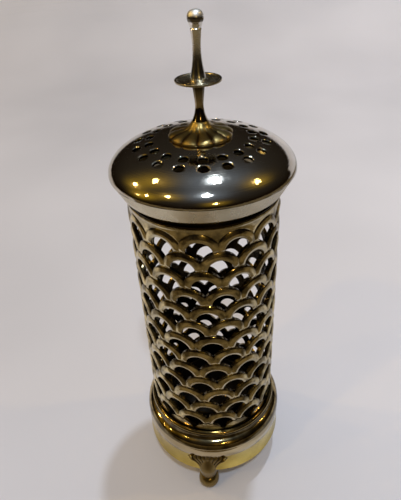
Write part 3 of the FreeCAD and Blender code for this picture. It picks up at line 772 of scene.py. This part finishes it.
def base():
    """Base shoulder over its upright band, wire bead and coved plinth, each a closed turned profile."""
    bottom, top = levels("base_moulding")
    band, neck, wall = reach("base_moulding"), 34.3, 1.2
    band_top, shoulder_top = bottom + 6.2, top - 2.3
    upright = [(band - 0.15, bottom), (band, bottom + 0.25), (band, band_top - 0.2)]
    # Steps of the shoulder in from the band and up from its top
    inward_and_up = [(0.06, 0.0), (0.16, 1.2), (0.45, 2.45), (0.95, 3.5), (1.6, 4.3), (2.25, 4.85),
                     (2.75, 5.15), (band - neck - 0.15, 5.28)]
    shoulder = spline([(band - inward, band_top + up) for inward, up in inward_and_up])
    lip = [(neck, band_top + 5.5), (neck, top - 0.1), (neck - 0.1, top)]
    inside = bow((neck - wall, shoulder_top), (band - wall, band_top), -0.5)
    profile = np.vstack([upright, shoulder, lip, [(neck - wall, top)], inside, [(band - wall, bottom)]])
    # Painted dark reflection: the shoulder is dimmed to the web colour and darkest low down; painted shade on
    # the neck
    shade_levels = band_top + np.array([0.35, 0.7, 2.4, 3.8, 5.2, 5.5])
    stain_and_shade = np.interp(profile[:, 1], shade_levels, [0, 0.85, 0.8, 0.5, 0.45, 0.85])
    turned_piece("base_shoulder", "body", profile, base_plate, "plate", "base_moulding", SEGMENTS, stain_and_shade)

    bottom, top = levels("base_bead")
    outer, inner, bulge = reach("base_bead"), sleeve_radius + 0.05, 0.7
    round_side = bow((outer - bulge, bottom), (outer - bulge, top), -bulge)
    points, faces = lathe(np.vstack([[(inner, bottom)], round_side, [(inner, top)]]))
    make_piece("wire_bead", "body", points, faces, bead_plate, "plate", ["base_bead"])

    wall, shelf_bore, shelf_under = 1.5, 30.0, plinth_top - 1.2
    height = np.linspace(plinth_bottom, plinth_top, 17)
    face = np.stack([plinth_face(height), height], -1)[::-1]
    inside = np.stack([plinth_face(height) - wall, height], -1)[:-2]
    profile = np.vstack([[(shelf_bore, plinth_top)], face, inside,
                         [(plinth_head - wall, shelf_under), (shelf_bore, shelf_under)]])
    points, faces = lathe(profile)
    make_piece("plinth_cove", "body", points, faces, golden, "plate", ["plinth_ring"])


base()


# Feet

foot_circle = 34.6
foot_ball = 5.6
foot_flat = 0.35
rib_foot, rib_head = 5.2, 2.9
# How far the backs of rib and leaf stay clear of the plinth's face
plinth_gap = 0.03
foot_tarnish = 0.2


def foot_post():
    """Ball and thick neck of a foot: an arc and a spline turned about the foot's own axis."""
    centre, ball_end, segments = foot_ball - foot_flat, 0.86, 64
    turn = np.linspace(-math.asin(centre / foot_ball), ball_end, 26)
    ball = np.stack([foot_ball * np.cos(turn), centre + foot_ball * np.sin(turn)], -1)
    neck = spline([(3.95, 10.1), (4.15, 10.7), (4.55, 12.6), (5.0, 15.6), (rib_foot, plinth_bottom)])
    profile = np.vstack([[(0, 0)], ball, neck, [(0, plinth_bottom)]])
    points, faces = lathe(profile, segments, closed=False)
    # Painted shade in the groove between ball and neck
    stain_and_shade = np.interp(profile[:, 1], [0, 9.3, 10.2, 11.2], [0.1, 0.15, 0.9, foot_tarnish])
    return points + (0, -foot_circle, 0), [faces], np.tile(stain_and_shade, segments)


def on_plinth(face, back):
    """A closed skin on the plinth: front and back grids of the same shape, joined round their border."""
    rows, columns = face.shape[:2]
    count = rows * columns
    quads = grid_faces(rows, columns)
    index = np.arange(count).reshape(rows, columns)
    border = np.concatenate([index[:, 0], index[-1, 1:], index[-2::-1, -1], index[0, -2:0:-1]])
    ahead = np.roll(border, -1)
    side = np.stack([border, ahead, ahead + count, border + count], -1)
    points = np.vstack([face.reshape(-1, 3), back.reshape(-1, 3)])
    return points, [np.vstack([quads, quads + count, side])]


def bent(angle, radius, height):
    """Points at an angle round the lantern, a radius and a height."""
    angle, radius, height = np.broadcast_arrays(angle, radius, height)
    return np.stack([radius * np.sin(angle), -radius * np.cos(angle), height], -1)


def foot_rib():
    """Neck running up the plinth as a tapering rib: a cone about the foot's axis, outside the plinth.

    At height z the cone's circle of radius p about c crosses the plinth's radius R at the turn f with
    cos f = (R^2 - c^2 - p^2) / (2 c p).
    """
    top_gap = 0.4
    height = np.linspace(plinth_bottom, plinth_top - top_gap, 14)[None]
    u = np.linspace(-1, 1, 25)[:, None]
    s = (height - plinth_bottom) / (plinth_top - plinth_bottom)
    cone = rib_foot + (rib_head - rib_foot) * smoothstep(s)
    face_radius = plinth_face(height) + plinth_gap
    limit = np.arccos((face_radius ** 2 - foot_circle ** 2 - cone ** 2) / (2 * foot_circle * cone))
    x = cone * np.sin(u * limit)
    y = -foot_circle - cone * np.cos(u * limit)
    face = np.stack([x, y, np.broadcast_to(height, x.shape)], -1)
    reach_angle = np.arctan2(cone * np.sin(limit), foot_circle + cone * np.cos(limit))
    back = bent(u * reach_angle, face_radius, height)
    points, faces = on_plinth(face, back)
    return points, faces, np.full(len(points), foot_tarnish)


def foot_leaf():
    """Fluted leaf beside the rib: u across, w from root to edge, ribs swelling as |cos|, curled tips."""
    half_root, half_tip, spread_power = 4.4, 11.3, 1.7
    ribs, rib_roundness, rib_growth = 9, 0.6, 1.5
    root_gap, top_gap, top_bow, top_scallop = 0.3, 0.35, 1.5, 0.5
    thickness, valley_share, front_gap = 0.9, 0.45, 0.06
    edge_steepness, side_steepness = 9, 12
    curl_height, curl_u, curl_width, curl_w, curl_length = 0.7, 0.88, 0.1, 0.84, 0.14
    painted_valley_shade, valley_growth = 1.1, 2
    u = np.linspace(-1, 1, 73)[:, None]
    w = np.linspace(0, 1, 13)[None]
    rib = np.abs(np.cos(u * math.pi * ribs / 2)) ** rib_roundness
    spread = half_root + (half_tip - half_root) * w ** spread_power
    root = plinth_bottom + root_gap
    top = plinth_top - top_gap - top_bow * u ** 2 - top_scallop * (1 - rib)
    height = root + (top - root) * w
    to_edge = np.minimum((1 - w) * edge_steepness, (1 - np.abs(u)) * side_steepness)
    edge = np.sqrt(np.clip(to_edge, 0, 1))
    curl = np.exp(-((np.abs(u) - curl_u) / curl_width) ** 2 - ((w - curl_w) / curl_length) ** 2)
    swell = valley_share + (1 - valley_share) * rib * smoothstep(w * rib_growth)
    depth = (thickness * swell + curl_height * curl) * edge
    angle = u * spread / plinth_rim
    face = bent(angle, plinth_face(height) + front_gap + depth, height)
    back = bent(angle, plinth_face(height) + plinth_gap, height)
    points, faces = on_plinth(face, back)
    # Painted shade down the leaf's valleys and over its back
    valley = np.clip(painted_valley_shade - rib, 0, 1) * smoothstep(w * valley_growth)
    return points, faces, np.concatenate([valley.ravel(), np.ones(valley.size)])


def cast_foot(name, turn):
    """Post, rib and leaf of one foot as one piece, turned to its place."""
    parts = [foot_post(), foot_rib(), foot_leaf()]
    points, faces = joined([(p, f) for p, f, s in parts])
    shade = np.concatenate([s for p, f, s in parts])
    points = turned_about(points, turn)
    make_piece(name + "_cast", "body", points, faces, cast_brown, "cast_feet", [name], shade)


for index, name in enumerate(("foot_front", "foot_right", "foot_left")):
    cast_foot(name, TURN * index / 3)


# Candle cup

def tealight_cup():
    """Cup in a wide drip pan: rounded straight runs turned about the axis."""
    bottom, top = levels("candle_cup")
    pan, inner, sheet = reach("candle_cup"), 19.6, 0.8
    lip, floor = bottom + 4.0, bottom + 1.0
    profile = rounded([
        (0.0, bottom, 0), (pan, bottom, 1.2), (pan, lip, 0.3), (pan - sheet, lip, 0.3),
        (pan - sheet, floor, 0.8), (inner + sheet, floor, 0.6), (inner + sheet, top, 0.35),
        (inner, top, 0.35), (inner, floor, 0.5), (0.0, floor, 0),
    ])
    points, faces = lathe(profile, segments=144, closed=False)
    # Its dark tin is partly painted shade inside the lantern
    make_piece("tealight_cup", "cup", points, faces, tin, "tin", ["candle_cup"])


tealight_cup()


# Frame nodes that keep their own shape

# The neck ring's dark plate is painted shade in the gap under the lid
carried = {
    "floor_plate": golden, "neck_ring": smoked_and_shaded, "lid_bezel": smoked_and_shaded, "foot_screws": steel,
    "finial_stud": steel, "finial_washer": steel, "finial_nut": steel,
}
for name, material in carried.items():
    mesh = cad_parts[name].data
    mesh.materials.clear()
    mesh.materials.append(material)


# Stage: cloth, lamps and camera in the photo's view, which is turned a little from the front foot

photo_turn = math.radians(7.0)
# Scale and range of the painted fold shading, and where the cloth darkens towards the left with painted shade
FOLD_SCALE, FOLD_RANGE = 5.0, (0.3, 0.7)
DIM_FROM, DIM_TO = -0.25, 0.25
CLOTH_ROUGHNESS, CLOTH_SHEEN = 0.9, 0.1


def seen(place):
    """A place given in the photo's view, in the lantern's frame."""
    return turned_about(np.asarray(place, float)[None], photo_turn)[0]


def staged(name, profile, left, right, material):
    """A sheet across the view from left to right that follows a profile of (depth, height), in metres.

    The profile is one for the whole sheet, or a pair for its left and its right end.
    """
    profile = np.asarray(profile, float)
    ends = np.broadcast_to(profile, (2,) + profile.shape[-2:])
    across = np.broadcast_to(np.array([left, right])[:, None], ends.shape[:2])
    points = np.concatenate([across[..., None], ends], -1).reshape(-1, 3)
    mesh = bpy.data.meshes.new(name)
    mesh.from_pydata(turned_about(points, photo_turn).tolist(), [], grid_faces(*ends.shape[:2]).tolist())
    mesh.shade_smooth()
    mesh.materials.append(material)
    sheet = bpy.data.objects.new(name, mesh)
    bpy.context.scene.collection.objects.link(sheet)
    return sheet


def matt(name, first, second, left_share=0.0):
    """Dull cloth with painted shade: soft fold shading from first to second colour, darker by left_share
    towards the left.
    """
    material = bpy.data.materials.new(name)
    material.use_nodes = True
    tree = material.node_tree
    shader = tree.nodes["Principled BSDF"]
    place = tree.nodes.new("ShaderNodeTexCoord").outputs["Object"]
    # Painted shade: soft fold shading in the colour, and darkening towards the left
    painted_fold_shade = stretched(tree, noise(tree, place, FOLD_SCALE, detail=2.0, roughness=0.4), *FOLD_RANGE, 0.0, 1.0)
    across = node(tree, "ShaderNodeSeparateXYZ", Vector=place).outputs["X"]
    painted_left_shade = stretched(tree, across, DIM_FROM, DIM_TO, left_share, 0.0)
    colour = mixed(tree, painted_left_shade, mixed(tree, painted_fold_shade, (*first, 1), (*second, 1)), (0, 0, 0, 1))
    tree.links.new(colour, shader.inputs["Base Color"])
    shader.inputs["Roughness"].default_value = CLOTH_ROUGHNESS
    shader.inputs["Specular IOR Level"].default_value = CLOTH_SHEEN
    return material


# The cloth lies flat and is swept up behind the lantern, where it hangs higher on the right
floor_front, cloth_left, cloth_right = -0.92, -1.2, 1.8
sweep_start, sweep_radius = 0.7, 0.45
sweep_end = sweep_start + sweep_radius
sweep_top_left, sweep_top_right = 0.08, 0.64


def cloth_end(top):
    """Profile of the cloth at one end: flat, then a quarter circle, cut level at a top or run up to it."""
    turn = np.linspace(0, math.pi / 2, 17)
    sweep = np.stack([sweep_start + sweep_radius * np.sin(turn), sweep_radius * (1 - np.cos(turn))], -1)
    return np.vstack([[(floor_front, 0.0)], np.minimum(sweep, (sweep_end, top)), [(sweep_end, top)]])


# The pale cloth is painted darker towards the left, as shade
pale_cloth = matt("pale_cloth", (0.885, 0.86, 0.89), (0.79, 0.77, 0.80), left_share=0.22)
staged("cloth", [cloth_end(sweep_top_left), cloth_end(sweep_top_right)], cloth_left, cloth_right, pale_cloth)

# Cards just above the cloth that only reflections see: painted dark reflections of the room beyond the
# table's edges, and the painted shade in which the cloth on the right lies
dark_room_reflection = matt("dark_brown", (0.195, 0.15, 0.08), (0.145, 0.11, 0.054))
dim_cloth = matt("shaded_cloth", (0.57, 0.555, 0.58), (0.51, 0.495, 0.52))
table_front, table_left, table_right = -0.065, -0.95, 0.45
shade_edge = 0.045
just_above = 0.001
before_table = [(floor_front, just_above), (table_front, just_above)]
along_table = [(table_front, just_above), (sweep_start, just_above)]
cards = [
    staged("shaded_right", along_table, shade_edge, table_right, dim_cloth),
    staged("dark_front", before_table, cloth_left, cloth_right, dark_room_reflection),
    staged("dark_left", along_table, cloth_left, table_left, dark_room_reflection),
    staged("dark_right", along_table, table_right, cloth_right, dark_room_reflection),
]
for card in cards:
    card.visible_camera = False
    card.visible_diffuse = False
    card.visible_shadow = False

lamp_distance = 1.7
warm, cool = (1.0, 0.68, 0.24), (0.80, 0.93, 1.10)
# Direction to each lamp from the lid, its colour, watts and radius in metres
lamps = [
    ((-0.782, 0.209, 0.588), warm, 9.0, 0.040),
    ((-0.494, 0.234, 0.837), warm, 5.0, 0.032),
    ((-0.928, -0.146, 0.343), warm, 2.5, 0.025),
    ((-0.836, -0.254, 0.487), warm, 5.0, 0.035),
    ((-0.534, -0.402, 0.744), warm, 9.0, 0.040),
    ((0.654, 0.075, 0.753), warm, 9.0, 0.040),
    ((0.220, -0.899, 0.379), warm, 5.0, 0.035),
    ((0.123, 0.168, 0.978), cool, 34.0, 0.036),
    ((0.051, -0.458, 0.887), cool, 30.0, 0.05),
]
lid_centre = np.array([0, 0, (dome_top + dome_bottom) / 2 * MM])
for index, (direction, colour, watts, radius) in enumerate(lamps):
    lamp = bpy.data.lights.new(f"lamp_{index}", "POINT")
    lamp.energy = watts
    lamp.color = colour
    lamp.shadow_soft_size = radius
    holder = bpy.data.objects.new(f"lamp_{index}", lamp)
    holder.location = lid_centre + seen(direction) * lamp_distance
    bpy.context.scene.collection.objects.link(holder)

# A dim room round the table, lighter about each lamp; the cloth also gets an even fill that the metal
# doesn't mirror
world = bpy.data.worlds.new("room")
bpy.context.scene.world = world
world.use_nodes = True
tree = world.node_tree
view = tree.nodes.new("ShaderNodeTexCoord").outputs["Generated"]
up = node(tree, "ShaderNodeSeparateXYZ", Vector=view).outputs["Z"]
horizon, ceiling, ceiling_from = (0.008, 0.004, 0.0012, 1), (0.036, 0.031, 0.024, 1), 0.9
cloth_fill, far_wall = (0.26, 0.25, 0.25, 1), (0.60, 0.575, 0.58, 1)
room = mixed(tree, stretched(tree, up, 0.0, ceiling_from, 0.0, 1.0), horizon, ceiling)
# Colour of the lit wall about a lamp, and how quickly it fades
warm_glow, cool_glow = ((0.30, 0.185, 0.008), 46.0), ((0.14, 0.175, 0.23), 20.0)
for direction, colour, _, _ in lamps:
    glow_colour, fading = cool_glow if colour is cool else warm_glow
    toward = node(tree, "ShaderNodeVectorMath")
    toward.operation = "DOT_PRODUCT"
    tree.links.new(view, toward.inputs[0])
    toward.inputs[1].default_value = seen(direction)
    fall = node(tree, "ShaderNodeMath")
    fall.operation = "MULTIPLY_ADD"
    tree.links.new(toward.outputs["Value"], fall.inputs[0])
    fall.inputs[1].default_value = fading
    fall.inputs[2].default_value = -fading
    glow = node(tree, "ShaderNodeMath")
    glow.operation = "EXPONENT"
    tree.links.new(fall.outputs["Value"], glow.inputs[0])
    lit = mixed(tree, glow.outputs["Value"], (0, 0, 0, 1), (*glow_colour, 1))
    total = tree.nodes.new("ShaderNodeVectorMath")
    tree.links.new(room, total.inputs[0])
    tree.links.new(lit, total.inputs[1])
    room = total.outputs["Vector"]
light_path = tree.nodes.new("ShaderNodeLightPath").outputs
lit_room = mixed(tree, light_path["Is Glossy Ray"], cloth_fill, room)
backdrop = mixed(tree, light_path["Is Camera Ray"], lit_room, far_wall)
tree.links.new(backdrop, tree.nodes["Background"].inputs["Color"])
tree.nodes["Background"].inputs["Strength"].default_value = 1.0

# Camera of the photo: focal length in pixels, tilt down, roll, turn to the side, and place
focal_pixels, image_long_side, sensor = 475.0, 500.0, 36.0
pitch, roll, yaw = math.radians(34.928), math.radians(3.152), math.radians(-0.824)
camera_place = (0.0, -0.18125, 0.26409)
forward = np.array([math.sin(yaw) * math.cos(pitch), math.cos(yaw) * math.cos(pitch), -math.sin(pitch)])
level = np.array([math.cos(yaw), -math.sin(yaw), 0.0])
down = np.cross(forward, level)
image_right = math.cos(roll) * level + math.sin(roll) * down
image_down = -math.sin(roll) * level + math.cos(roll) * down
camera_data = bpy.data.cameras.new("camera")
camera_data.sensor_width = sensor
camera_data.lens = focal_pixels / image_long_side * sensor
camera_data.clip_start = 0.01
camera = bpy.data.objects.new("camera", camera_data)
axes = np.eye(4)
axes[:3, :] = np.stack([seen(v) for v in (image_right, -image_down, -forward, camera_place)], -1)
camera.matrix_world = Matrix(axes.tolist())
bpy.context.scene.collection.objects.link(camera)
bpy.context.scene.camera = camera
bpy.context.scene.view_settings.view_transform = "Standard"
